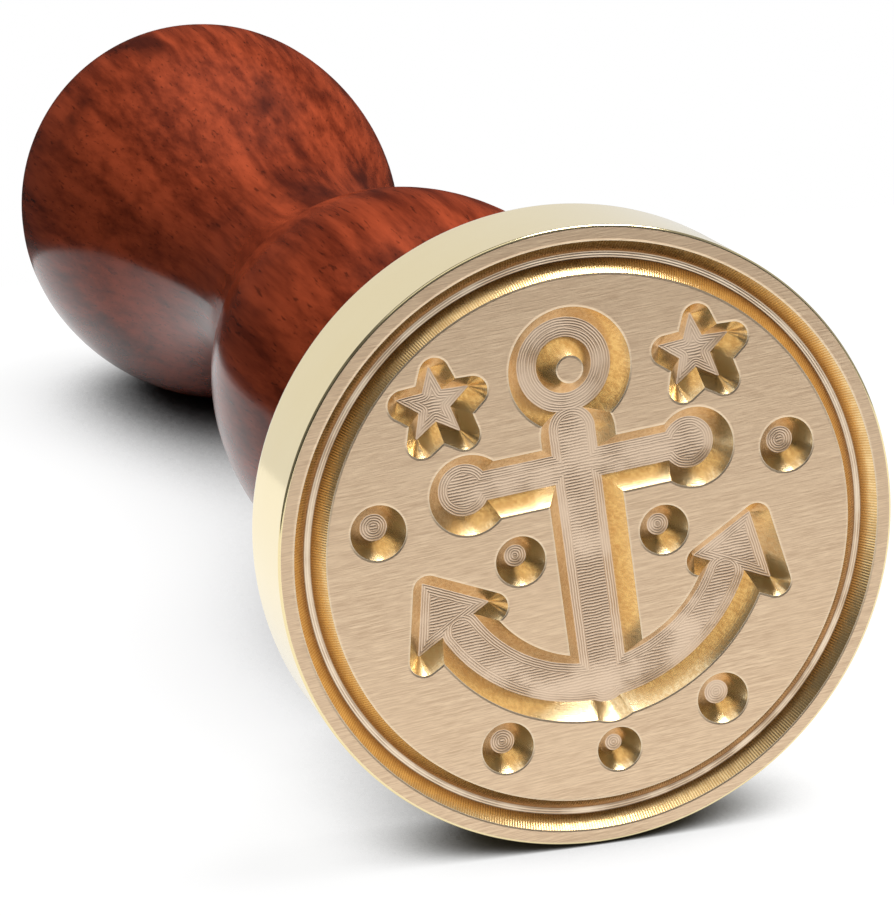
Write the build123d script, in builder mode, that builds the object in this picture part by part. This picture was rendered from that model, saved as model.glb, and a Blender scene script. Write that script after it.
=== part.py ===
"""Wax seal stamp: engraved brass head on a turned rosewood handle, joined by a threaded stud.

Lengths are in mm. The stamp lies on its side: +Y runs along its axis from the stamping face
to the knob, +Z is up, and the origin is the centre of the stamping face.
"""
import os
from math import cos, radians, sin

from build123d import *

# Brass head: a disc-shaped flange with the engraved face, and a neck that takes the stud
HEAD_R = 12.5
FLANGE_T = 5.0
HEAD_L = 14.5
NECK_R = 7.0
NECK_ROOT = 0.7
FACE_EDGE = 0.1
BACK_EDGE = 0.4
NECK_EDGE = 0.4

# Ring groove just inside the rim of the face, with sloping walls
GROOVE_OUTER_R = 11.88
GROOVE_INNER_R = 10.64
GROOVE_WALL = 0.48
GROOVE_DEPTH = 0.53

# Engraving: an anchor, cut with a tapered cutter
CLOCKING = 6.0
CUT_DEPTH = 0.8
CUT_TAPER = 35.0
CUT_CORNER_R = 0.6

SHANK_TOP = 4.4
SHANK_FOOT = -6.0
SHANK_W = 3.0
STOCK_V = 2.9
STOCK_HALF_L = 4.6
STOCK_W = 2.3
STOCK_END_R = 1.6
RING_V = 7.0
RING_R = 2.45
RING_HOLE_R = 0.55
ARM_CENTRE_V = 0.2
ARM_R = 6.2
ARM_W = 2.7
ARM_HALF_SWEEP = 62.0
FLUKE_FLOOR = ((6.75, -0.5), (7.3, -3.3), (4.3, -1.75))

# Threaded stud, shown by its outside diameter, and the hole that it turns in
STUD_R = 2.95
STUD_HOLE_R = 3.0
STUD_IN_HEAD = 7.0
STUD_IN_HANDLE = 14.0
STUD_EDGE = 0.6
HEAD_HOLE_DEPTH = 8.0
HEAD_HOLE_TIP = 1.5
HANDLE_HOLE_DEPTH = 14.5
HOLE_MOUTH = 0.35

# Rosewood handle: collar, waist and knob, turned in one piece; points are (radius, distance from face)
COLLAR_FRONT_R = 7.4
COLLAR_EDGE = 0.5
COLLAR_TOP = (9.2, 25.5)
COLLAR_END = (7.54, 35.3)
WAIST = (5.65, 46.5)
KNOB_START = (8.42, 62.1)
KNOB_R = 10.75
KNOB_Y = 75.2

# Number of short straight runs along each curve of the handle
COLLAR_RUNS = 5
WAIST_FRONT_RUNS = 3
WAIST_BACK_RUNS = 3
KNOB_RUNS = 4

os.makedirs("parts", exist_ok=True)

clock = radians(CLOCKING)
face_plane = Plane(origin=(0, 0, 0), x_dir=(cos(clock), 0, sin(clock)), z_dir=(0, -1, 0))


with BuildPart() as seal_head:
    # Turned blank with the blind hole for the stud
    hole_end_y = HEAD_L - HEAD_HOLE_DEPTH
    with BuildSketch(Plane.XY):
        with BuildLine():
            Polyline(
                (0, 0),
                (HEAD_R - FACE_EDGE, 0),
                (HEAD_R, FACE_EDGE),
                (HEAD_R, FLANGE_T - BACK_EDGE),
                (HEAD_R - BACK_EDGE, FLANGE_T),
                (NECK_R + NECK_ROOT, FLANGE_T),
                (NECK_R, FLANGE_T + NECK_ROOT),
                (NECK_R, HEAD_L - NECK_EDGE),
                (NECK_R - NECK_EDGE, HEAD_L),
                (STUD_HOLE_R + HOLE_MOUTH, HEAD_L),
                (STUD_HOLE_R, HEAD_L - HOLE_MOUTH),
                (STUD_HOLE_R, hole_end_y),
                (0, hole_end_y - HEAD_HOLE_TIP),
                close=True,
            )
        make_face()
    revolve(axis=Axis.Y)

    # Ring groove
    with BuildSketch(Plane.XY):
        with BuildLine():
            Polyline(
                (GROOVE_OUTER_R, 0),
                (GROOVE_OUTER_R - GROOVE_WALL, GROOVE_DEPTH),
                (GROOVE_INNER_R + GROOVE_WALL, GROOVE_DEPTH),
                (GROOVE_INNER_R, 0),
                close=True,
            )
        make_face()
    revolve(axis=Axis.Y, mode=Mode.SUBTRACT)

    # Anchor ring: a round pocket with its middle left standing
    with BuildSketch(face_plane):
        with Locations((0, RING_V)):
            Circle(RING_R)
    extrude(amount=-CUT_DEPTH, taper=CUT_TAPER, mode=Mode.SUBTRACT)
    with BuildSketch(face_plane):
        with Locations((0, RING_V)):
            Circle(RING_HOLE_R)
    extrude(amount=-CUT_DEPTH, taper=-CUT_TAPER)

    # Anchor shank, stock and curved arms, each a slot with round ends
    with BuildSketch(face_plane):
        with Locations((0, (SHANK_TOP + SHANK_FOOT) / 2)):
            SlotCenterToCenter(SHANK_TOP - SHANK_FOOT, SHANK_W, rotation=90)
    extrude(amount=-CUT_DEPTH, taper=CUT_TAPER, mode=Mode.SUBTRACT)
    with BuildSketch(face_plane):
        with Locations((0, STOCK_V)):
            SlotCenterToCenter(2 * STOCK_HALF_L, STOCK_W)
    extrude(amount=-CUT_DEPTH, taper=CUT_TAPER, mode=Mode.SUBTRACT)
    with BuildSketch(face_plane):
        with BuildLine(mode=Mode.PRIVATE):
            arm_line = CenterArc((0, ARM_CENTRE_V), ARM_R, -90 - ARM_HALF_SWEEP, 2 * ARM_HALF_SWEEP)
        SlotArc(arm_line, ARM_W)
    extrude(amount=-CUT_DEPTH, taper=CUT_TAPER, mode=Mode.SUBTRACT)

    # Flukes at the ends of the arms
    with BuildSketch(face_plane):
        Polygon(*FLUKE_FLOOR, align=None)
        offset(amount=CUT_CORNER_R, kind=Kind.ARC)
        mirror(about=Plane.YZ)
    extrude(amount=-CUT_DEPTH, taper=CUT_TAPER, mode=Mode.SUBTRACT)

    # Thick ends of the stock
    with BuildSketch(face_plane):
        with Locations((-STOCK_HALF_L, STOCK_V), (STOCK_HALF_L, STOCK_V)):
            Circle(STOCK_END_R)
    extrude(amount=-CUT_DEPTH, taper=CUT_TAPER, mode=Mode.SUBTRACT)
seal_head.part.label = "seal_head"
export_step(seal_head.part, "parts/seal_head.step")


with BuildPart() as handle:
    # Turned outline from the collar over the waist to the end of the knob: short runs along tangent arcs
    collar_front = (COLLAR_FRONT_R - COLLAR_EDGE, HEAD_L)
    collar_shoulder = (COLLAR_FRONT_R, HEAD_L + COLLAR_EDGE)
    knob_side = (KNOB_R, KNOB_Y)
    knob_end = (0, KNOB_Y + KNOB_R)
    hole_floor_y = HEAD_L + HANDLE_HOLE_DEPTH
    with BuildSketch(Plane.XY):
        with BuildLine(mode=Mode.PRIVATE):
            collar = ThreePointArc(collar_shoulder, COLLAR_TOP, COLLAR_END)
            waist_front = TangentArc(COLLAR_END, WAIST, tangent=collar % 1)
            waist_back = TangentArc(WAIST, KNOB_START, tangent=waist_front % 1)
            knob_flank = TangentArc(KNOB_START, knob_side, tangent=waist_back % 1)
        with BuildLine():
            Polyline(*(collar @ (step / COLLAR_RUNS) for step in range(COLLAR_RUNS + 1)))
            Polyline(*(waist_front @ (step / WAIST_FRONT_RUNS) for step in range(WAIST_FRONT_RUNS + 1)))
            Polyline(*(waist_back @ (step / WAIST_BACK_RUNS) for step in range(WAIST_BACK_RUNS + 1)))
            Polyline(*(knob_flank @ (step / KNOB_RUNS) for step in range(KNOB_RUNS + 1)))
            CenterArc((0, KNOB_Y), KNOB_R, 0, 90)
            Polyline(
                knob_end,
                (0, hole_floor_y),
                (STUD_HOLE_R, hole_floor_y),
                (STUD_HOLE_R, HEAD_L),
                collar_front,
                collar_shoulder,
            )
        make_face()
    revolve(axis=Axis.Y)
handle.part.label = "handle"
export_step(handle.part, "parts/handle.step")


with BuildPart() as stud:
    # Shank of the stud with bevelled ends
    with BuildSketch(Plane.XZ.offset(-(HEAD_L - STUD_IN_HEAD))):
        Circle(STUD_R)
    extrude(amount=-(STUD_IN_HEAD + STUD_IN_HANDLE))
    chamfer(stud.edges().filter_by(GeomType.CIRCLE), length=STUD_EDGE)
stud.part.label = "stud"
export_step(stud.part, "parts/stud.step")
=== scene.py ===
"""Wax seal stamp lying on a white table: engraved brass head, rosewood handle and threaded stud."""
from math import atan, atan2, ceil, cos, hypot, pi, radians, sin, tan

import bpy
from mathutils import Matrix, Vector


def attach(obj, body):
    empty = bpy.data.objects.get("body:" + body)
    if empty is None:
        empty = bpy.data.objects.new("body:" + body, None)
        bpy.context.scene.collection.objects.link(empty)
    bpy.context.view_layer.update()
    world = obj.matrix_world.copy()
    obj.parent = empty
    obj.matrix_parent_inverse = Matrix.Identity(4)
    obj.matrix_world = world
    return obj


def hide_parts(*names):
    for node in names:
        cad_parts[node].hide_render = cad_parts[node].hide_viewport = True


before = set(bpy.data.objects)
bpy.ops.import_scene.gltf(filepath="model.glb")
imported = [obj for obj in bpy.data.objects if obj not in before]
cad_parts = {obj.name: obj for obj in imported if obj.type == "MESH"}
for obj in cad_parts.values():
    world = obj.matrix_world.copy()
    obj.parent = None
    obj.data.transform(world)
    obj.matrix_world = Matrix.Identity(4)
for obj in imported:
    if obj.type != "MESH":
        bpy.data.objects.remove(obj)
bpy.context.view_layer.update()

# Lengths are written in millimetres, and (radius, distance from the stamping face) on turned pieces
MM = 0.001

# Brass head
HEAD_R = 12.5
FLANGE_T = 5.0
HEAD_L = 14.5
NECK_R = 7.0
NECK_ROOT = 0.7
FACE_EDGE = 0.1
BACK_EDGE = 0.4
NECK_EDGE = 0.4
EDGE_STEPS = 5
EDGE_HOLD = 1.3
HEAD_SIDES = 288
SMOOTH_ANGLE = radians(30)
FLAT_FACING = -0.99
LEVEL_MARGIN = 0.01

# Ring groove
GROOVE_OUTER_R = 11.88
GROOVE_INNER_R = 10.64
GROOVE_WALL = 0.48
GROOVE_DEPTH = 0.53
GROOVE_MIDDLE_R = (GROOVE_OUTER_R + GROOVE_INNER_R) / 2

# Engraved anchor with stars and dots, in the face's own (across, up) places
CLOCKING = radians(6.0)
CUT_DEPTH = 0.8
CUT_SLOPE = tan(radians(35.0))
CUT_WALL = CUT_DEPTH * CUT_SLOPE
CUT_CORNER_R = 0.6
CUT_OVERRUN = 0.2
CUTTER_SIDES = 90
# Width of the band along each cut edge that is rubbed bright and carries a painted highlight
EDGE_WEAR_AND_GLINT = 0.09
SHANK_TOP = 4.4
SHANK_FOOT = -6.0
SHANK_R = 1.5
STOCK_V = 2.9
STOCK_HALF_L = 4.6
STOCK_R = 1.15
STOCK_END_R = 1.6
RING_V = 7.0
RING_R = 2.45
RING_HOLE_R = 0.55
ARM_CENTRE_V = 0.2
ARM_R = 6.2
ARM_HALF_W = 1.35
ARM_HALF_SWEEP = radians(62.0)
ARM_STEPS = 62
FLUKE_FLOOR = ((6.75, -0.5), (7.3, -3.3), (4.3, -1.75))
STAR_UV = (5.3, 6.5)
STAR_FLOOR_R = 1.45
STAR_FLOOR_NOTCH_R = 0.62
STAR_POINTS = 5
DOTS = ((2.95, -0.15, 1.0), (8.35, 2.2, 1.1), (4.5, -7.6, 1.05))
FOOT_DOT_V = -8.7
FOOT_DOT_R = 0.9

# Stud and its holes
STUD_R = 2.95
STUD_ROOT_R = 2.4
STUD_PITCH = 1.0
STUD_IN_HEAD = 7.0
STUD_IN_HANDLE = 14.0
STUD_EDGE = 0.6
STUD_RING_STEP = 0.125
STUD_SIDES = 48
STUD_CREST = 1.15
STUD_SMOOTH_ANGLE = radians(40)
STUD_HOLE_R = 3.0
HEAD_HOLE_DEPTH = 8.0
HEAD_HOLE_TIP = 1.5
HANDLE_HOLE_DEPTH = 14.5
HOLE_MOUTH = 0.35

# Rosewood handle
COLLAR_FRONT_R = 7.4
COLLAR_EDGE = 0.5
COLLAR_EDGE_MID = 0.3 * COLLAR_EDGE
COLLAR_TOP = (9.2, 25.5)
COLLAR_END = (7.54, 35.3)
WAIST = (5.65, 46.5)
KNOB_START = (8.42, 62.1)
KNOB_R = 10.75
KNOB_Y = 75.2
HANDLE_SIDES = 160
HANDLE_STEP = 0.9

# Camera: where it stands, the point it is aimed at, its roll and its lens for a 36 mm tall frame
CAMERA_PLACE = (-38.01, -120.61, 37.81)
CAMERA_AIM = (-5.716, 0.0, 3.981)
CAMERA_ROLL = radians(-2.15)
CAMERA_LENS = 133.32
CAMERA_FRAME = 36.0
CAMERA_NEAR = 5.0

# Table: (distance from the face, height) of the flange's back edge, which rests on it, and its slope
TABLE_TOUCH = (4.6, -12.5)
TABLE_TILT = atan(0.0248)

# Middle part of a noise texture's values, which most looks are spread over
NOISE_SPAN = (0.3, 0.7)

# Studio, in metres: a softbox above, a white table in a dim room, and pale cards that only the brass mirrors
OVERHEAD = (0.12, 0.0, 0.99)
OVERHEAD_FROM = 0.4
OVERHEAD_TO = 0.95
ROOM_LEVEL = 0.025
OVERHEAD_LEVEL = 0.35
BELOW_TABLE = (-0.2, -0.4)
TABLE_X = (-0.14, 0.4)
TABLE_Y = (-0.16, 0.1)
TABLE_TONE = 0.5
TABLE_SEEN_TONE = 0.12
TABLE_LIFT = 0.92
# Reach and levels of the painted contact shadow in the table's lift
SHADE_REACH = 0.012
SHADE_OPEN = (0.16, 0.67)
SHADE_SAMPLES = 16
SOFTBOX_PLACE = (0.24, 0.02, 0.74)
SOFTBOX_AIM = (0.0, 0.03, 0.0)
SOFTBOX_SIZE = 0.45
SOFTBOX_POWER = 6.5
CARD_AIM = (0.0, 0.0, 0.005)
CARD_SIZE = (1.2, 0.5)
CARDS = (
    ("back_card", (0.0, 0.6, 0.09), 1.5),
    ("left_card", (-0.6, 0.0, 0.2), 0.22),
    ("right_card", (0.6, 0.0, 0.2), 0.65),
    ("front_card", (0.0, -0.6, 0.36), 0.2),
    ("top_card", (0.0, -0.12, 0.8), 1.4),
)


class Nodes:
    """Adds nodes to one node tree and wires them; a value may be a socket or a constant."""

    def __init__(self, tree):
        self.tree = tree

    def add(self, kind, **settings):
        node = self.tree.nodes.new(kind)
        for name, value in settings.items():
            setattr(node, name, value)
        return node

    def wire(self, value, socket):
        if isinstance(value, bpy.types.NodeSocket):
            self.tree.links.new(value, socket)
        else:
            socket.default_value = value

    def math(self, operation, *values):
        node = self.add("ShaderNodeMath", operation=operation)
        for value, socket in zip(values, node.inputs):
            self.wire(value, socket)
        return node.outputs[0]

    def length(self, across, up):
        squared = self.math("MULTIPLY", across, across)
        return self.math("SQRT", self.math("MULTIPLY_ADD", up, up, squared))

    def wave(self, value, pitch):
        """Cosine of a distance, one full wave to each pitch."""
        return self.math("COSINE", self.math("MULTIPLY", value, 2 * pi / pitch))

    def half_up(self, wave):
        """A wave between -1 and 1 brought between 0 and 1."""
        return self.math("MULTIPLY_ADD", wave, 0.5, 0.5)

    def largest(self, values):
        best = values[0]
        for value in values[1:]:
            best = self.math("MAXIMUM", best, value)
        return best

    def smallest(self, values):
        best = values[0]
        for value in values[1:]:
            best = self.math("MINIMUM", best, value)
        return best

    def spread(self, value, low, high, to_low=0.0, to_high=1.0, smooth=True):
        kind = "SMOOTHSTEP" if smooth else "LINEAR"
        node = self.add("ShaderNodeMapRange", interpolation_type=kind)
        for number, item in enumerate((value, low, high, to_low, to_high)):
            self.wire(item, node.inputs[number])
        return node.outputs[0]

    def mix(self, factor, first, second):
        """A number between two others; the node's sockets 2 and 3 are those for numbers."""
        node = self.add("ShaderNodeMix", data_type="FLOAT")
        self.wire(factor, node.inputs["Factor"])
        self.wire(first, node.inputs[2])
        self.wire(second, node.inputs[3])
        return node.outputs[0]

    def blend(self, factor, first, second):
        """A colour between two others; the node's sockets 6 and 7 are those for colours."""
        node = self.add("ShaderNodeMix", data_type="RGBA")
        self.wire(factor, node.inputs["Factor"])
        for value, socket in ((first, node.inputs[6]), (second, node.inputs[7])):
            self.wire(value if isinstance(value, bpy.types.NodeSocket) else (*value, 1.0), socket)
        return node.outputs[2]

    def place(self, scale=(1.0, 1.0, 1.0), turn=(0.0, 0.0, 0.0)):
        """Object coordinates in millimetres, turned and then stretched."""
        coordinates = self.add("ShaderNodeTexCoord").outputs["Object"]
        mapping = self.add("ShaderNodeMapping", vector_type="POINT")
        self.wire(coordinates, mapping.inputs["Vector"])
        mapping.inputs["Rotation"].default_value = turn
        mapping.inputs["Scale"].default_value = (1 / MM, 1 / MM, 1 / MM)
        stretch = self.add("ShaderNodeVectorMath", operation="MULTIPLY")
        self.wire(mapping.outputs[0], stretch.inputs[0])
        stretch.inputs[1].default_value = scale
        return stretch.outputs[0]

    def noise(self, vector, scale, detail=2.0, roughness=0.5, distortion=0.0):
        node = self.add("ShaderNodeTexNoise")
        self.wire(vector, node.inputs["Vector"])
        node.inputs["Scale"].default_value = scale
        node.inputs["Detail"].default_value = detail
        node.inputs["Roughness"].default_value = roughness
        node.inputs["Distortion"].default_value = distortion
        return node.outputs["Fac"]

    def split(self, vector):
        node = self.add("ShaderNodeSeparateXYZ")
        self.wire(vector, node.inputs[0])
        return node.outputs

    def bump(self, height, distance, strength=1.0):
        node = self.add("ShaderNodeBump")
        self.wire(height, node.inputs["Height"])
        node.inputs["Distance"].default_value = distance * MM
        node.inputs["Strength"].default_value = strength
        return node.outputs["Normal"]

    def group(self, tree):
        node = self.add("ShaderNodeGroup")
        node.node_tree = tree
        return node.outputs


def new_group(name, outputs):
    """An empty node group with these value outputs, and its output node."""
    tree = bpy.data.node_groups.new(name, "ShaderNodeTree")
    for output in outputs:
        tree.interface.new_socket(output, in_out="OUTPUT", socket_type="NodeSocketFloat")
    return Nodes(tree), tree.nodes.new("NodeGroupOutput")


def engraving_field():
    """Node group, in mm: how far a point lies inside a pocket's upper edge, and where on the face it is."""
    field, out = new_group("engraving_field", ("Inset", "Across", "Up", "Radius"))
    across, _, up = field.split(field.place(turn=(0.0, CLOCKING, 0.0)))
    side = field.math("ABSOLUTE", across)

    def round_pocket(u, v, radius):
        offset = field.length(field.math("SUBTRACT", side, u), field.math("SUBTRACT", up, v))
        return field.math("SUBTRACT", radius, offset)

    past_top = field.math("SUBTRACT", up, SHANK_TOP)
    past_foot = field.math("SUBTRACT", SHANK_FOOT, up)
    past_shank = field.largest([past_top, past_foot, 0.0])
    shank = field.math("SUBTRACT", SHANK_R, field.length(across, past_shank))

    past_stock = field.math("MAXIMUM", field.math("SUBTRACT", side, STOCK_HALF_L), 0.0)
    stock = field.math("SUBTRACT", STOCK_R, field.length(past_stock, field.math("SUBTRACT", up, STOCK_V)))

    ring_middle = (RING_R + RING_HOLE_R) / 2
    ring_radius = field.length(across, field.math("SUBTRACT", up, RING_V))
    from_ring = field.math("ABSOLUTE", field.math("SUBTRACT", ring_radius, ring_middle))
    ring = field.math("SUBTRACT", (RING_R - RING_HOLE_R) / 2, from_ring)

    arm_up = field.math("SUBTRACT", up, ARM_CENTRE_V)
    arm_angle = field.math("ARCTAN2", side, field.math("MULTIPLY", arm_up, -1.0))
    arm_angle = field.math("MINIMUM", arm_angle, ARM_HALF_SWEEP)
    arm_du = field.math("MULTIPLY_ADD", field.math("SINE", arm_angle), -ARM_R, side)
    arm_dv = field.math("MULTIPLY_ADD", field.math("COSINE", arm_angle), ARM_R, arm_up)
    arm = field.math("SUBTRACT", ARM_HALF_W, field.length(arm_du, arm_dv))

    def from_run(first, second, u, v):
        """Distance to the straight run from first to second, and how far a point lies to its right."""
        run = Vector(second) - Vector(first)
        length = run.length
        run.normalize()
        du = field.math("SUBTRACT", u, first[0])
        dv = field.math("SUBTRACT", v, first[1])
        right = field.math("MULTIPLY_ADD", dv, -run.x, field.math("MULTIPLY", du, run.y))
        ahead = field.math("MULTIPLY_ADD", dv, run.y, field.math("MULTIPLY", du, run.x))
        on_run = field.math("MINIMUM", field.math("MAXIMUM", ahead, 0.0), length)
        return field.length(right, field.math("SUBTRACT", ahead, on_run)), right

    def cornered_pocket(runs):
        """A pocket whose floor has straight sides and whose upper edge is rounded at the corners."""
        inside = field.math("SIGN", field.smallest([right for _, right in runs]))
        nearest = field.smallest([distance for distance, _ in runs])
        return field.math("MULTIPLY_ADD", nearest, inside, CUT_CORNER_R)

    sides = zip(FLUKE_FLOOR, FLUKE_FLOOR[1:] + FLUKE_FLOOR[:1])
    fluke = cornered_pocket([from_run(first, second, side, up) for first, second in sides])

    half_turn = pi / STAR_POINTS
    star_u = field.math("SUBTRACT", side, STAR_UV[0])
    star_v = field.math("SUBTRACT", up, STAR_UV[1])
    star_angle = field.math("PINGPONG", field.math("ARCTAN2", star_u, star_v), half_turn)
    star_r = field.length(star_u, star_v)
    fold_u = field.math("MULTIPLY", star_r, field.math("SINE", star_angle))
    fold_v = field.math("MULTIPLY", star_r, field.math("COSINE", star_angle))
    notch = (STAR_FLOOR_NOTCH_R * sin(half_turn), STAR_FLOOR_NOTCH_R * cos(half_turn))
    star = cornered_pocket([from_run((0.0, STAR_FLOOR_R), notch, fold_u, fold_v)])

    round_pockets = ((STOCK_HALF_L, STOCK_V, STOCK_END_R), *DOTS, (0.0, FOOT_DOT_V, FOOT_DOT_R))
    pockets = [shank, stock, ring, arm, fluke, star]
    pockets += [round_pocket(*pocket) for pocket in round_pockets]
    field.wire(field.largest(pockets), out.inputs["Inset"])
    field.wire(across, out.inputs["Across"])
    field.wire(up, out.inputs["Up"])
    field.wire(field.length(across, up), out.inputs["Radius"])
    return field.tree


def new_material(name, **constants):
    """A material with one Principled BSDF, its constants set on the shader's own sockets."""
    material = bpy.data.materials.new(name)
    material.use_nodes = True
    nodes = Nodes(material.node_tree)
    shader = material.node_tree.nodes["Principled BSDF"]
    for socket, value in constants.items():
        shader.inputs[socket.replace("_", " ").title().replace("Ior", "IOR")].default_value = value
    return material, nodes, shader


def polished_brass():
    """Sides, back and neck of the head, with faint turning marks."""
    material, nodes, shader = new_material("polished_brass", metallic=1.0)
    turning = nodes.noise(nodes.place(scale=(0.25, 9.0, 0.25)), 1.0, detail=3.0)
    cloud = nodes.noise(nodes.place(), 0.25, detail=3.0)
    deep, pale = (0.89, 0.74, 0.41), (0.92, 0.79, 0.48)
    nodes.wire(nodes.blend(cloud, deep, pale), shader.inputs["Base Color"])
    nodes.wire(nodes.spread(turning, *NOISE_SPAN, 0.08, 0.15), shader.inputs["Roughness"])
    nodes.wire(nodes.bump(turning, 0.002), shader.inputs["Normal"])
    return material


def brushed_brass(field):
    """Short brush strokes across the face, rubbed bright and lit by a painted highlight along the edges of
    every cut.
    """
    material, nodes, shader = new_material("brushed_brass", metallic=1.0)
    turn = (0.0, CLOCKING, 0.0)
    short = nodes.noise(nodes.place(scale=(1.3, 1.0, 24.0), turn=turn), 1.0, detail=3.0, roughness=0.6)
    long = nodes.noise(nodes.place(scale=(0.25, 1.0, 14.0), turn=turn), 1.0, detail=4.0, roughness=0.65)
    cloud = nodes.noise(nodes.place(), 0.22, detail=2.0)
    short_share = 0.55
    streak = nodes.math("MULTIPLY_ADD", short, short_share, nodes.math("MULTIPLY", long, 1 - short_share))
    dull, bright = (0.67, 0.475, 0.31), (0.90, 0.685, 0.465)
    even, worn_glint = (0.84, 0.625, 0.42), (0.92, 0.79, 0.57)
    tone = nodes.blend(nodes.spread(streak, 0.36, 0.64), dull, bright)
    tone = nodes.blend(nodes.spread(cloud, *NOISE_SPAN, 0.0, 0.3), tone, even)

    inset, _, _, radius = nodes.group(field)
    inner_ring = nodes.math("LESS_THAN", radius, GROOVE_INNER_R + GROOVE_WALL)
    outer_ring = nodes.math("SUBTRACT", 1.0, inner_ring)
    groove_inside = nodes.spread(radius, GROOVE_INNER_R - EDGE_WEAR_AND_GLINT, GROOVE_INNER_R)
    groove_outside = nodes.spread(radius, GROOVE_OUTER_R + EDGE_WEAR_AND_GLINT, GROOVE_OUTER_R)
    edge = nodes.largest([
        nodes.spread(inset, -EDGE_WEAR_AND_GLINT, 0.0),
        nodes.math("MULTIPLY", groove_inside, inner_ring),
        nodes.math("MULTIPLY", groove_outside, outer_ring),
    ])
    # Lighter tone along every cut edge: partly rubbed brass, partly a painted highlight standing in for
    # rounded edges
    worn_glint_share = 0.55
    tone = nodes.blend(nodes.math("MULTIPLY", edge, worn_glint_share), tone, worn_glint)
    nodes.wire(tone, shader.inputs["Base Color"])
    nodes.wire(nodes.spread(streak, *NOISE_SPAN, 0.44, 0.32), shader.inputs["Roughness"])
    edge_drop, streak_height = 0.03, 0.009
    relief = nodes.math("MULTIPLY_ADD", edge, -edge_drop, nodes.math("MULTIPLY", streak, streak_height))
    nodes.wire(nodes.bump(relief, 1.0), shader.inputs["Normal"])
    return material


def milled_floor(field):
    """Pocket floors: the cutter's passes follow the outline, and run straight in the wide parts."""
    material, nodes, shader = new_material("milled_floor", metallic=1.0)
    inset, _, up, _ = nodes.group(field)
    floor_inset = nodes.math("SUBTRACT", inset, CUT_WALL)
    waver = nodes.noise(nodes.place(), 2.2, detail=2.0)
    contour_pitch, contour_waver = 0.1, 0.06
    contour = nodes.wave(nodes.math("MULTIPLY_ADD", waver, contour_waver, floor_inset), contour_pitch)
    hatch_pitch, hatch_waver = 0.12, 0.10
    hatch = nodes.wave(nodes.math("MULTIPLY_ADD", waver, hatch_waver, up), hatch_pitch)
    hatch_from, hatch_full = 0.36, 0.42
    lines = nodes.mix(nodes.spread(floor_inset, hatch_from, hatch_full), contour, hatch)
    patch = nodes.noise(nodes.place(), 0.45, detail=3.0)
    depth = nodes.spread(patch, 0.35, 0.65, 0.25, 1.0)
    lines = nodes.math("MULTIPLY", nodes.half_up(lines), depth)
    crest, trough = (0.88, 0.68, 0.50), (0.58, 0.40, 0.26)
    nodes.wire(nodes.blend(lines, crest, trough), shader.inputs["Base Color"])
    nodes.wire(nodes.spread(lines, 0.0, 1.0, 0.34, 0.44), shader.inputs["Roughness"])
    nodes.wire(nodes.bump(lines, 0.012), shader.inputs["Normal"])
    return material


def milled_wall():
    """Sloping pocket walls, with the cutter's fine steps and streaks running down them."""
    material, nodes, shader = new_material("milled_wall", metallic=1.0)
    _, depth, _ = nodes.split(nodes.place())
    step_pitch, step_share = 0.09, 0.05
    steps = nodes.wave(depth, step_pitch)
    frost = nodes.noise(nodes.place(scale=(9.0, 1.1, 9.0)), 1.0, detail=3.0)
    deep, pale = (0.85, 0.60, 0.31), (0.96, 0.77, 0.46)
    nodes.wire(nodes.blend(nodes.spread(frost, *NOISE_SPAN), deep, pale), shader.inputs["Base Color"])
    nodes.wire(nodes.spread(frost, *NOISE_SPAN, 0.27, 0.19), shader.inputs["Roughness"])
    relief = nodes.math("MULTIPLY_ADD", steps, step_share, frost)
    nodes.wire(nodes.bump(relief, 0.003), shader.inputs["Normal"])
    return material


def from_groove_middle(nodes, radius):
    """Distance from the circle along the middle of the ring groove."""
    return nodes.math("ABSOLUTE", nodes.math("SUBTRACT", radius, GROOVE_MIDDLE_R))


def groove_floor(field):
    """Floor of the ring groove, with fine lines running round it, and painted shade towards both walls."""
    material, nodes, shader = new_material("groove_floor", metallic=1.0)
    _, _, _, radius = nodes.group(field)
    line_pitch = 0.1
    cloud = nodes.noise(nodes.place(), 0.6, detail=3.0)
    depth = nodes.spread(cloud, *NOISE_SPAN, 0.3, 1.0)
    lines = nodes.math("MULTIPLY", nodes.half_up(nodes.wave(radius, line_pitch)), depth)
    # The last, dark brown tone is painted shade where the groove floor meets its walls
    crest, trough, dark = (0.98, 0.81, 0.61), (0.66, 0.47, 0.32), (0.34, 0.20, 0.10)
    shade_from, shade_full = 0.08, 0.125
    shade = nodes.spread(from_groove_middle(nodes, radius), shade_from, shade_full, 0.0, 0.85)
    tone = nodes.blend(shade, nodes.blend(lines, crest, trough), dark)
    nodes.wire(tone, shader.inputs["Base Color"])
    nodes.wire(nodes.spread(lines, 0.0, 1.0, 0.30, 0.42), shader.inputs["Roughness"])
    nodes.wire(nodes.bump(lines, 0.012), shader.inputs["Normal"])
    return material


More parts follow.
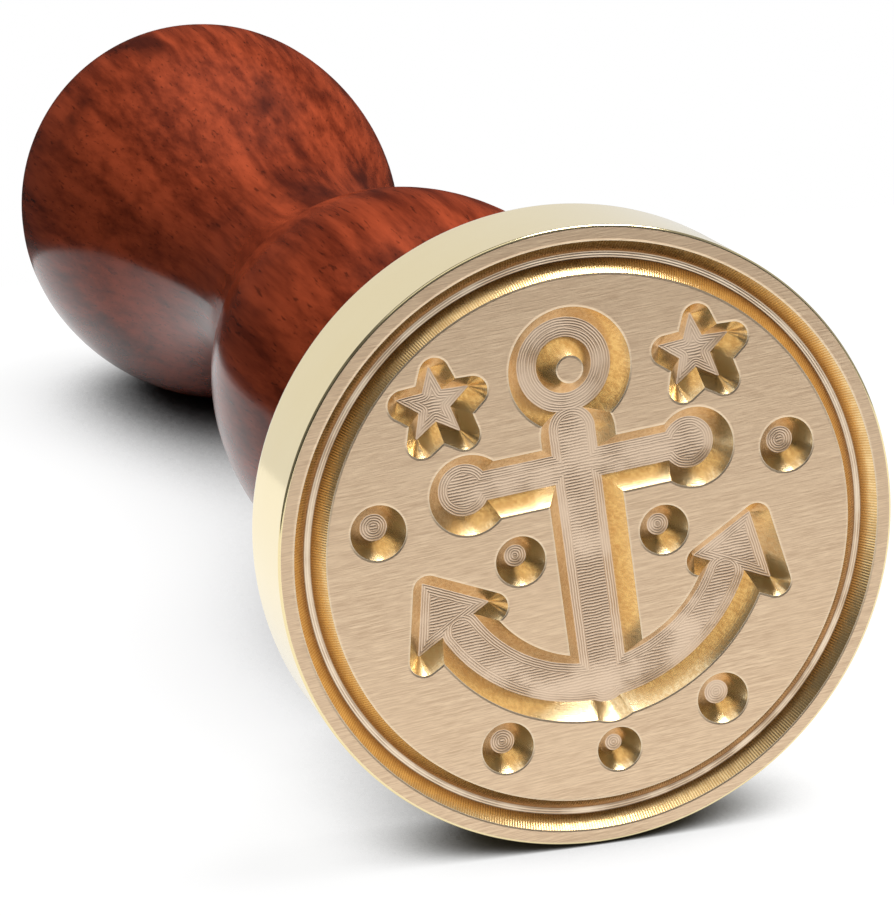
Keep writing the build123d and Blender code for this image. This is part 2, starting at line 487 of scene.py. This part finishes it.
def groove_wall(field):
    """Walls of the ring groove, with fine upright scallops side by side, and painted shade towards the floor.
    """
    material, nodes, shader = new_material("groove_wall", metallic=1.0)
    _, across, up, radius = nodes.group(field)
    scallop_pitch, scallop_share = 0.1, 0.2
    frost_share, frost_base = 0.4, 0.3
    way_round = nodes.math("MULTIPLY", nodes.math("ARCTAN2", across, up), GROOVE_INNER_R)
    scallop = nodes.wave(way_round, scallop_pitch)
    frost = nodes.noise(nodes.place(), 3.0, detail=3.0)
    ground = nodes.math("MULTIPLY_ADD", frost, frost_share, frost_base)
    marks = nodes.math("MULTIPLY_ADD", scallop, scallop_share, ground)
    # The darkest tone is painted shade near the groove floor
    deep, pale, foot_shade = (0.74, 0.46, 0.18), (0.95, 0.70, 0.36), (0.42, 0.24, 0.11)
    foot_shade_from, foot_shade_full = 0.45, 0.14
    shade = nodes.spread(from_groove_middle(nodes, radius), foot_shade_from, foot_shade_full, 0.0, 0.7)
    tone = nodes.blend(shade, nodes.blend(nodes.spread(marks, 0.25, 0.75), deep, pale), foot_shade)
    nodes.wire(tone, shader.inputs["Base Color"])
    nodes.wire(nodes.spread(frost, *NOISE_SPAN, 0.30, 0.22), shader.inputs["Roughness"])
    nodes.wire(nodes.bump(marks, 0.008), shader.inputs["Normal"])
    return material


def rosewood():
    """Red-brown rosewood under a clear polish: streaks along the axis, dark blotches and fine pores."""
    material, nodes, shader = new_material("rosewood", roughness=0.17, ior=1.2)
    x, y, z = nodes.split(nodes.place())
    drift = nodes.noise(nodes.place(scale=(0.10, 0.035, 0.10)), 1.0, detail=2.0)
    drift_reach, plank_lean, along_stretch = 5.0, 0.45, 0.012
    plank = nodes.math("MULTIPLY_ADD", drift, drift_reach, nodes.math("MULTIPLY_ADD", z, plank_lean, x))
    along = nodes.add("ShaderNodeCombineXYZ")
    nodes.wire(plank, along.inputs[0])
    nodes.wire(nodes.math("MULTIPLY", y, along_stretch), along.inputs[1])
    bands = nodes.noise(along.outputs[0], 0.42, detail=3.0, roughness=0.55)
    streaks = nodes.noise(nodes.place(scale=(1.6, 0.07, 1.6)), 1.0, detail=4.0, roughness=0.6)
    blotch_place = nodes.place(scale=(0.24, 0.075, 0.24))
    blotch = nodes.noise(blotch_place, 1.0, detail=4.0, roughness=0.55, distortion=0.3)
    pores = nodes.noise(nodes.place(scale=(6.5, 0.45, 6.5)), 1.0, detail=2.0)
    streak_share = 0.45
    grain = nodes.math("MULTIPLY_ADD", streaks, streak_share, nodes.math("MULTIPLY", bands, 1 - streak_share))
    brown, red = (0.15, 0.021, 0.008), (0.52, 0.086, 0.031)
    blotch_dark, pore_dark = (0.05, 0.009, 0.006), (0.022, 0.005, 0.003)
    tone = nodes.blend(nodes.spread(grain, 0.34, 0.66), brown, red)
    tone = nodes.blend(nodes.spread(blotch, 0.51, 0.72, 0.0, 0.85), tone, blotch_dark)
    tone = nodes.blend(nodes.spread(pores, 0.60, 0.74, 0.0, 0.55), tone, pore_dark)
    nodes.wire(tone, shader.inputs["Base Color"])
    nodes.wire(nodes.bump(pores, 0.006, strength=0.3), shader.inputs["Normal"])
    return material


def plated_steel():
    """Plated thread of the stud, a little uneven in tone."""
    material, nodes, shader = new_material("plated_steel", metallic=1.0)
    cloud = nodes.noise(nodes.place(), 0.8, detail=4.0)
    dark, light = (0.50, 0.48, 0.44), (0.68, 0.66, 0.62)
    nodes.wire(nodes.blend(cloud, dark, light), shader.inputs["Base Color"])
    nodes.wire(nodes.spread(cloud, *NOISE_SPAN, 0.22, 0.36), shader.inputs["Roughness"])
    return material


def table_white():
    """Matt white with its real shadow; what camera and mirrors see of it is lifted to white, and the lift
    dims close under the object as a painted contact shadow.
    """
    material = bpy.data.materials.new("table_white")
    material.use_nodes = True
    tree = material.node_tree
    tree.nodes.clear()
    nodes = Nodes(tree)
    path = nodes.add("ShaderNodeLightPath").outputs
    seen = nodes.largest([path["Is Camera Ray"], path["Is Glossy Ray"], path["Is Transmission Ray"]])
    matt = nodes.add("ShaderNodeBsdfDiffuse")
    tone = nodes.spread(seen, 0.0, 1.0, TABLE_TONE, TABLE_SEEN_TONE, smooth=False)
    nodes.wire(tone, matt.inputs["Color"])
    shade = nodes.add("ShaderNodeAmbientOcclusion", samples=SHADE_SAMPLES)
    shade.inputs["Distance"].default_value = SHADE_REACH
    lift = nodes.add("ShaderNodeEmission")
    # Painted contact shadow: the lift fades where the object closes over the table
    open_sky = nodes.spread(shade.outputs["AO"], *SHADE_OPEN)
    lifted = nodes.math("MULTIPLY", nodes.math("MULTIPLY", seen, open_sky), TABLE_LIFT)
    nodes.wire(lifted, lift.inputs["Strength"])
    both = nodes.add("ShaderNodeAddShader")
    nodes.wire(matt.outputs[0], both.inputs[0])
    nodes.wire(lift.outputs[0], both.inputs[1])
    nodes.wire(both.outputs[0], nodes.add("ShaderNodeOutputMaterial").inputs["Surface"])
    return material


def edit(piece):
    """Enters edit mode on one piece with nothing selected."""
    bpy.ops.object.select_all(action="DESELECT")
    piece.select_set(True)
    bpy.context.view_layer.objects.active = piece
    bpy.ops.object.mode_set(mode="EDIT")
    bpy.ops.mesh.select_mode(type="VERT")
    bpy.ops.mesh.select_all(action="DESELECT")


def leave_edit():
    bpy.ops.object.mode_set(mode="OBJECT")


def select_where(piece, test):
    """Selects only the vertices that pass the test, and stays in edit mode."""
    bpy.ops.mesh.select_all(action="DESELECT")
    leave_edit()
    for vertex in piece.data.vertices:
        vertex.select = test(vertex)
    bpy.ops.object.mode_set(mode="EDIT")


def settle(name):
    """Puts the new primitive's place into its mesh and names it."""
    piece = bpy.context.object
    bpy.ops.object.transform_apply(location=True, rotation=True, scale=True)
    piece.name = name
    piece.data.name = name
    return piece


def ring_start(name, radius, place, sides):
    """A bare ring of edges round the stamp's axis, in edit mode and selected."""
    bpy.ops.object.select_all(action="DESELECT")
    bpy.ops.mesh.primitive_circle_add(
        vertices=sides, radius=radius * MM, location=(0, place * MM, 0), rotation=(pi / 2, 0, 0)
    )
    piece = settle(name)
    edit(piece)
    bpy.ops.mesh.select_all(action="SELECT")
    return piece


def extrude_rings(profile):
    """Extrudes the selected ring, which is the profile's first, through the rest of the profile."""
    for (radius, place), (next_radius, next_place) in zip(profile, profile[1:]):
        step = (0, (next_place - place) * MM, 0)
        bpy.ops.mesh.extrude_region_move(TRANSFORM_OT_translate={"value": step})
        size = next_radius / radius
        bpy.ops.transform.resize(value=(size, 1, size), center_override=(0, next_place * MM, 0))


def turned_piece(name, profile, sides):
    """A turned piece, closed at its first ring by a flat end and at its last by a flat end or a point."""
    piece = ring_start(name, *profile[0], sides)
    extrude_rings(profile)
    if profile[-1][0] == 0:
        bpy.ops.mesh.merge(type="CENTER")
    else:
        bpy.ops.mesh.edge_face_add()
    select_where(piece, lambda vertex: vertex.index < sides)
    bpy.ops.mesh.edge_face_add()
    bpy.ops.mesh.select_all(action="SELECT")
    bpy.ops.mesh.normals_make_consistent(inside=False)
    leave_edit()
    return piece


def post_cutter(corners, top_radius):
    """A tapered post stretched over the corners of a pocket's floor."""
    height = CUT_DEPTH + CUT_OVERRUN
    bpy.ops.object.select_all(action="DESELECT")
    bpy.ops.mesh.primitive_cone_add(
        vertices=CUTTER_SIDES,
        radius1=(top_radius + CUT_OVERRUN * CUT_SLOPE) * MM,
        radius2=(top_radius - CUT_WALL) * MM,
        depth=height * MM,
        location=(0, (CUT_DEPTH - height / 2) * MM, 0),
        rotation=(-pi / 2, 0, 0),
    )
    cutter = settle("post_cutter")
    corners = [Vector(corner) for corner in corners]
    goes_to = []
    for vertex in cutter.data.vertices:
        way = Vector((vertex.co.x, vertex.co.z))
        goes_to.append(max(range(len(corners)), key=lambda k: way.dot(corners[k])))
    edit(cutter)
    for k, corner in enumerate(corners):
        select_where(cutter, lambda vertex: goes_to[vertex.index] == k)
        bpy.ops.transform.translate(value=(corner.x * MM, 0, corner.y * MM))
    leave_edit()
    return cutter


def ring_cutter():
    """A round trench for the anchor's ring."""
    rise = CUT_OVERRUN * CUT_SLOPE
    profile = (
        (RING_R + rise, -CUT_OVERRUN),
        (RING_R - CUT_WALL, CUT_DEPTH),
        (RING_HOLE_R + CUT_WALL, CUT_DEPTH),
        (RING_HOLE_R - rise, -CUT_OVERRUN),
    )
    cutter = ring_start("ring_cutter", *profile[0], CUTTER_SIDES)
    extrude_rings(profile)
    select_where(cutter, lambda vertex: vertex.co.y < 0)
    bpy.ops.mesh.bridge_edge_loops()
    bpy.ops.mesh.select_all(action="SELECT")
    bpy.ops.transform.translate(value=(0, 0, RING_V * MM))
    bpy.ops.mesh.normals_make_consistent(inside=False)
    leave_edit()
    return cutter


def arm_cutter():
    """A trench along the anchor's curved arms: its section, spun about the arms' centre."""
    bpy.ops.object.select_all(action="DESELECT")
    bpy.ops.mesh.primitive_plane_add(size=2 * ARM_HALF_W * MM)
    cutter = settle("arm_cutter")
    way = Vector((sin(ARM_HALF_SWEEP), 0, -cos(ARM_HALF_SWEEP)))
    for vertex in cutter.data.vertices:
        outward = 1 if vertex.co.x > 0 else -1
        if vertex.co.y > 0:
            half, depth = ARM_HALF_W - CUT_WALL, CUT_DEPTH
        else:
            half, depth = ARM_HALF_W + CUT_OVERRUN * CUT_SLOPE, -CUT_OVERRUN
        vertex.co = (way * (ARM_R + outward * half) + Vector((0, depth, ARM_CENTRE_V))) * MM
    edit(cutter)
    bpy.ops.mesh.select_all(action="SELECT")
    bpy.ops.mesh.spin(
        steps=ARM_STEPS, angle=-2 * ARM_HALF_SWEEP, center=(0, 0, ARM_CENTRE_V * MM), axis=(0, 1, 0)
    )
    bpy.ops.mesh.select_all(action="SELECT")
    bpy.ops.mesh.normals_make_consistent(inside=False)
    leave_edit()
    return cutter


def engraving_cutters():
    """All pocket cutters as one piece, turned to the engraving's clocking."""
    cutters = [ring_cutter(), arm_cutter()]
    cutters.append(post_cutter(((0, SHANK_TOP), (0, SHANK_FOOT)), SHANK_R))
    cutters.append(post_cutter(((-STOCK_HALF_L, STOCK_V), (STOCK_HALF_L, STOCK_V)), STOCK_R))
    cutters.append(post_cutter(((0, FOOT_DOT_V),), FOOT_DOT_R))
    arm_end = (ARM_R * sin(ARM_HALF_SWEEP), ARM_CENTRE_V - ARM_R * cos(ARM_HALF_SWEEP), ARM_HALF_W)
    for side in (-1, 1):
        for u, v, radius in ((STOCK_HALF_L, STOCK_V, STOCK_END_R), arm_end, *DOTS):
            cutters.append(post_cutter(((side * u, v),), radius))
        cutters.append(post_cutter([(side * u, v) for u, v in FLUKE_FLOOR], CUT_CORNER_R))
        star_u, star_v = side * STAR_UV[0], STAR_UV[1]
        half_turn = pi / STAR_POINTS
        for k in range(STAR_POINTS):
            kite = [(star_u, star_v)]
            for reach, step in ((STAR_FLOOR_NOTCH_R, -1), (STAR_FLOOR_R, 0), (STAR_FLOOR_NOTCH_R, 1)):
                turn = (2 * k + step) * half_turn
                kite.append((star_u + reach * sin(turn), star_v + reach * cos(turn)))
            cutters.append(post_cutter(kite, CUT_CORNER_R))
    bpy.ops.object.select_all(action="DESELECT")
    for cutter in cutters:
        cutter.select_set(True)
    bpy.context.view_layer.objects.active = cutters[0]
    bpy.ops.object.join()
    bpy.context.object.rotation_euler = (0, -CLOCKING, 0)
    return settle("engraving_cutters")


def rounded_edge(corner, size, before, after):
    """Rings of a small round at a turned corner, held by a ring just before it and one just after."""
    corner = Vector(corner)
    start = corner + Vector(before) * size
    end = corner + Vector(after) * size
    rings = [corner + Vector(before) * size * EDGE_HOLD]
    for k in range(EDGE_STEPS + 1):
        turn = pi / 2 * k / EDGE_STEPS
        rings.append(start + (end - corner) * (1 - cos(turn)) + (corner - start) * sin(turn))
    rings.append(corner + Vector(after) * size * EDGE_HOLD)
    return [tuple(ring) for ring in rings]


def engraved_head():
    """Turned blank with the ring groove, cut by the engraving; each face gets the look of its place."""
    hole_end = HEAD_L - HEAD_HOLE_DEPTH
    profile = [
        (GROOVE_INNER_R, 0),
        (GROOVE_INNER_R + GROOVE_WALL, GROOVE_DEPTH),
        (GROOVE_OUTER_R - GROOVE_WALL, GROOVE_DEPTH),
        (GROOVE_OUTER_R, 0),
    ]
    profile += rounded_edge((HEAD_R, 0), FACE_EDGE, (-1, 0), (0, 1))
    profile += rounded_edge((HEAD_R, FLANGE_T), BACK_EDGE, (0, -1), (-1, 0))
    profile += rounded_edge((NECK_R, FLANGE_T), NECK_ROOT, (1, 0), (0, 1))
    profile += rounded_edge((NECK_R, HEAD_L), NECK_EDGE, (0, -1), (-1, 0))
    profile += [
        (STUD_HOLE_R + HOLE_MOUTH, HEAD_L),
        (STUD_HOLE_R, HEAD_L - HOLE_MOUTH),
        (STUD_HOLE_R, hole_end),
        (0, hole_end - HEAD_HOLE_TIP),
    ]
    head = turned_piece("engraved_head", profile, HEAD_SIDES)
    cutters = engraving_cutters()
    bpy.ops.object.select_all(action="DESELECT")
    head.select_set(True)
    bpy.context.view_layer.objects.active = head
    bpy.ops.object.modifier_add(type="BOOLEAN")
    cut = head.modifiers[-1]
    cut.operation = "DIFFERENCE"
    cut.solver = "EXACT"
    cut.use_self = True
    cut.object = cutters
    bpy.ops.object.modifier_apply(modifier=cut.name)
    bpy.data.objects.remove(cutters)
    bpy.ops.object.shade_smooth_by_angle(angle=SMOOTH_ANGLE)

    field = engraving_field()
    looks = {
        "side": polished_brass(),
        "land": brushed_brass(field),
        "pocket_floor": milled_floor(field),
        "pocket_wall": milled_wall(),
        "groove_floor": groove_floor(field),
        "groove_wall": groove_wall(field),
    }
    for material in looks.values():
        head.data.materials.append(material)
    order = list(looks)
    for face in head.data.polygons:
        radius = hypot(face.center.x, face.center.z) / MM
        depth = face.center.y / MM
        flat = face.normal.y < FLAT_FACING
        if flat and depth < LEVEL_MARGIN:
            look = "land"
        elif radius < GROOVE_INNER_R and depth < CUT_DEPTH + LEVEL_MARGIN:
            look = "pocket_floor" if flat else "pocket_wall"
        elif radius < GROOVE_OUTER_R and depth < GROOVE_DEPTH + LEVEL_MARGIN:
            look = "groove_floor" if flat else "groove_wall"
        else:
            look = "side"
        face.material_index = order.index(look)
    return head


def arc_from(start, heading, end):
    """Points of the arc that leaves start along heading and reaches end, and the heading there."""
    chord = end - start
    side = Vector((-heading.y, heading.x))
    radius = chord.length_squared / (2 * chord.dot(side))
    centre = start + side * radius
    sweep = 2 * atan2(chord.dot(side), chord.dot(heading))
    count = ceil(abs(radius * sweep) / HANDLE_STEP)
    turns = [Matrix.Rotation(sweep * k / count, 2) for k in range(1, count + 1)]
    points = [centre + turn @ (start - centre) for turn in turns]
    return points, Matrix.Rotation(sweep, 2) @ heading


def turned_handle():
    """Collar, waist and knob on one chain of tangent arcs, with the blind hole for the stud."""
    collar_front = Vector((COLLAR_FRONT_R - COLLAR_EDGE, HEAD_L))
    shoulder = Vector((COLLAR_FRONT_R, HEAD_L + COLLAR_EDGE))
    to_top = Vector(COLLAR_TOP) - shoulder
    from_end = shoulder - Vector(COLLAR_END)
    top_from_end = Vector(COLLAR_TOP) - Vector(COLLAR_END)
    seen = atan2(from_end.cross(top_from_end), from_end.dot(top_from_end))
    heading = Matrix.Rotation(-seen, 2) @ to_top.normalized()
    outline = [shoulder]
    for end in (COLLAR_END, WAIST, KNOB_START, (KNOB_R, KNOB_Y), (0, KNOB_Y + KNOB_R)):
        points, heading = arc_from(outline[-1], heading, Vector(end))
        outline += points
    hole_floor = HEAD_L + HANDLE_HOLE_DEPTH
    profile = [
        (STUD_HOLE_R, hole_floor),
        (STUD_HOLE_R, HEAD_L),
        tuple(collar_front),
        (COLLAR_FRONT_R - COLLAR_EDGE_MID, HEAD_L + COLLAR_EDGE_MID),
    ]
    profile += [tuple(point) for point in outline[:-1]]
    profile.append((0, KNOB_Y + KNOB_R))
    handle = turned_piece("turned_handle", profile, HANDLE_SIDES)
    bpy.ops.object.shade_smooth_by_angle(angle=SMOOTH_ANGLE)
    handle.data.materials.append(rosewood())
    return handle


def threaded_stud():
    """A bar of close rings whose vertices are drawn in between the crests of a right-hand thread."""
    start = HEAD_L - STUD_IN_HEAD
    length = STUD_IN_HEAD + STUD_IN_HANDLE
    count = round(length / STUD_RING_STEP)
    profile = [(STUD_R, start + length * k / count) for k in range(count + 1)]
    stud = turned_piece("threaded_stud", profile, STUD_SIDES)
    for vertex in stud.data.vertices:
        y = vertex.co.y / MM
        turn = atan2(-vertex.co.z, vertex.co.x) / (2 * pi)
        phase = (y / STUD_PITCH - turn) % 1.0
        tooth = min(1.0, STUD_CREST * (1.0 - abs(2 * phase - 1.0)))
        from_end = min(y - start, start + length - y)
        limit = STUD_R - max(0.0, STUD_EDGE - from_end)
        radius = min(limit, STUD_ROOT_R + (STUD_R - STUD_ROOT_R) * tooth)
        size = radius * MM / hypot(vertex.co.x, vertex.co.z)
        vertex.co = (vertex.co.x * size, vertex.co.y, vertex.co.z * size)
    stud.data.update()
    bpy.ops.object.shade_smooth_by_angle(angle=STUD_SMOOTH_ANGLE)
    stud.data.materials.append(plated_steel())
    return stud


def table():
    bpy.ops.object.select_all(action="DESELECT")
    bpy.ops.mesh.primitive_plane_add(size=1.0, location=(sum(TABLE_X) / 2, sum(TABLE_Y) / 2, 0))
    top = bpy.context.object
    top.scale = (TABLE_X[1] - TABLE_X[0], TABLE_Y[1] - TABLE_Y[0], 1)
    top = settle("table")
    top.location = (0, TABLE_TOUCH[0] * MM, TABLE_TOUCH[1] * MM)
    top.rotation_euler = (TABLE_TILT, 0, 0)
    bpy.ops.object.transform_apply(location=True, rotation=True, scale=True)
    top.data.materials.append(table_white())


def area_light(name, place, aim, power):
    bpy.ops.object.light_add(type="AREA", location=place)
    lamp = bpy.context.object
    lamp.name = name
    lamp.data.energy = power
    lamp.rotation_euler = (Vector(aim) - Vector(place)).to_track_quat("-Z", "Y").to_euler()
    lamp.visible_camera = False
    return lamp


def lights(brass):
    """Overhead light and a softbox for all, and cards whose reflections show in the brass alone."""
    world = bpy.data.worlds.new("studio_white")
    world.use_nodes = True
    bpy.context.scene.world = world
    nodes = Nodes(world.node_tree)
    toward = nodes.add("ShaderNodeTexCoord").outputs["Generated"]
    way = nodes.add("ShaderNodeVectorMath", operation="DOT_PRODUCT")
    nodes.wire(toward, way.inputs[0])
    way.inputs[1].default_value = Vector(OVERHEAD).normalized()
    level = nodes.spread(way.outputs["Value"], OVERHEAD_FROM, OVERHEAD_TO, ROOM_LEVEL, OVERHEAD_LEVEL)
    path = nodes.add("ShaderNodeLightPath").outputs
    mirrored = nodes.math("MAXIMUM", path["Is Glossy Ray"], path["Is Transmission Ray"])
    below_table = nodes.spread(nodes.split(toward)[2], *BELOW_TABLE)
    seen = nodes.math("MAXIMUM", path["Is Camera Ray"], nodes.math("MULTIPLY", mirrored, below_table))
    background = world.node_tree.nodes["Background"]
    background.inputs["Color"].default_value = (1.0, 1.0, 1.0, 1.0)
    nodes.wire(nodes.spread(seen, 0.0, 1.0, level, 1.0, smooth=False), background.inputs["Strength"])
    softbox = area_light("softbox", SOFTBOX_PLACE, SOFTBOX_AIM, SOFTBOX_POWER)
    softbox.data.shape = "DISK"
    softbox.data.size = SOFTBOX_SIZE
    cards_show_in = bpy.data.collections.new("cards_show_in")
    cards_show_in.objects.link(brass)
    for name, place, power in CARDS:
        card = area_light(name, place, CARD_AIM, power)
        card.data.shape = "RECTANGLE"
        card.data.size, card.data.size_y = CARD_SIZE
        card.light_linking.receiver_collection = cards_show_in


def camera():
    place = Vector(CAMERA_PLACE) * MM
    aim = Vector(CAMERA_AIM) * MM
    turn = (aim - place).to_track_quat("-Z", "Y").to_matrix() @ Matrix.Rotation(CAMERA_ROLL, 3, "Z")
    bpy.ops.object.camera_add(location=place, rotation=turn.to_euler())
    view = bpy.context.object
    view.data.sensor_fit = "VERTICAL"
    view.data.sensor_height = CAMERA_FRAME
    view.data.lens = CAMERA_LENS
    view.data.clip_start = CAMERA_NEAR * MM
    bpy.context.scene.camera = view


head = engraved_head()
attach(head, "head")
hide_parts("seal_head")

handle = turned_handle()
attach(handle, "handle")
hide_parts("handle")

stud = threaded_stud()
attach(stud, "stud")
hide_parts("stud")

table()
lights(head)
camera()
bpy.context.scene.view_settings.view_transform = "Standard"
